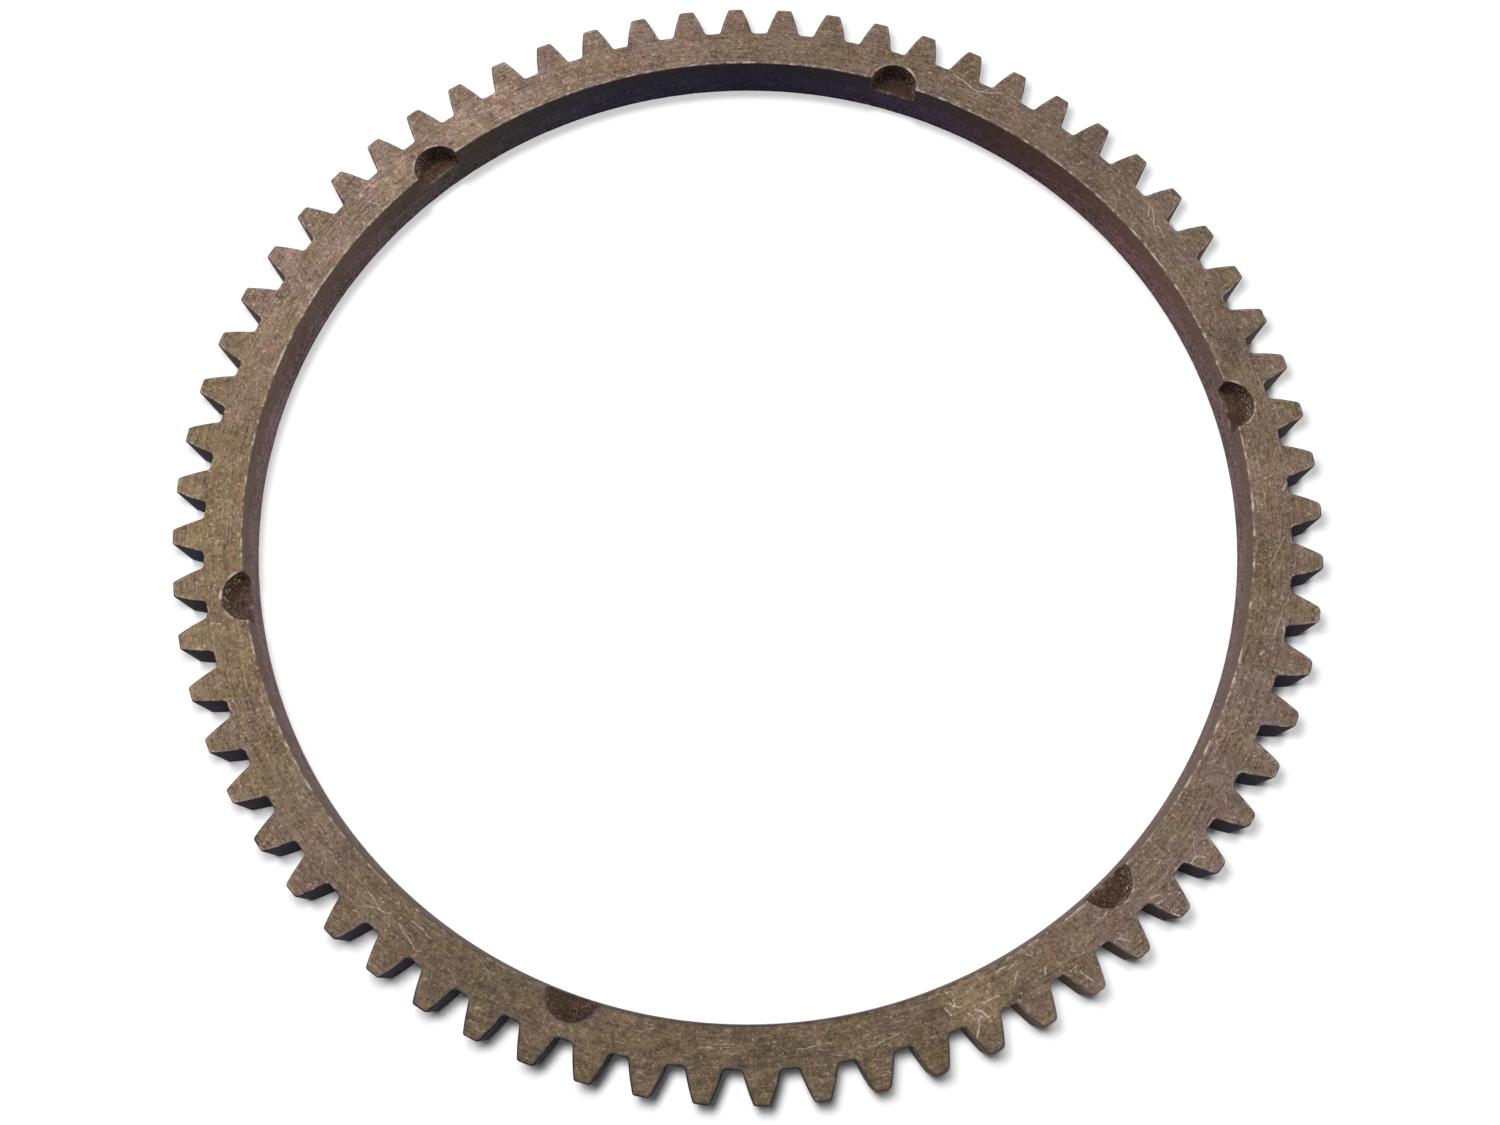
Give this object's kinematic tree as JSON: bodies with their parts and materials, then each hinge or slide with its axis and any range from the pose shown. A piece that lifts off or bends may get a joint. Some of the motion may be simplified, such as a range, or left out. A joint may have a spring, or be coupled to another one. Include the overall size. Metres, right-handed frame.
{
  "type": "flywheel ring gear",
  "caption": "Flat steel starter ring gear with stub involute teeth on its rim and half-round screw pockets sunk into the upper edge of its bore.",
  "frame": {"origin": "on the gear's axis, in the plane of the lower face that the ring lies on", "axes": "+Z along the axis, from the resting face to the face with the pockets; +X through the middle of one tooth"},
  "size_m": [0.2146, 0.2144, 0.0098],
  "materials": {
    "gear_steel": "dull brown heat-treated steel, fine scratches, bright worn edges"
  },
  "bodies": {
    "root": {"ring_gear": "gear_steel"}
  },
  "joints": []
}
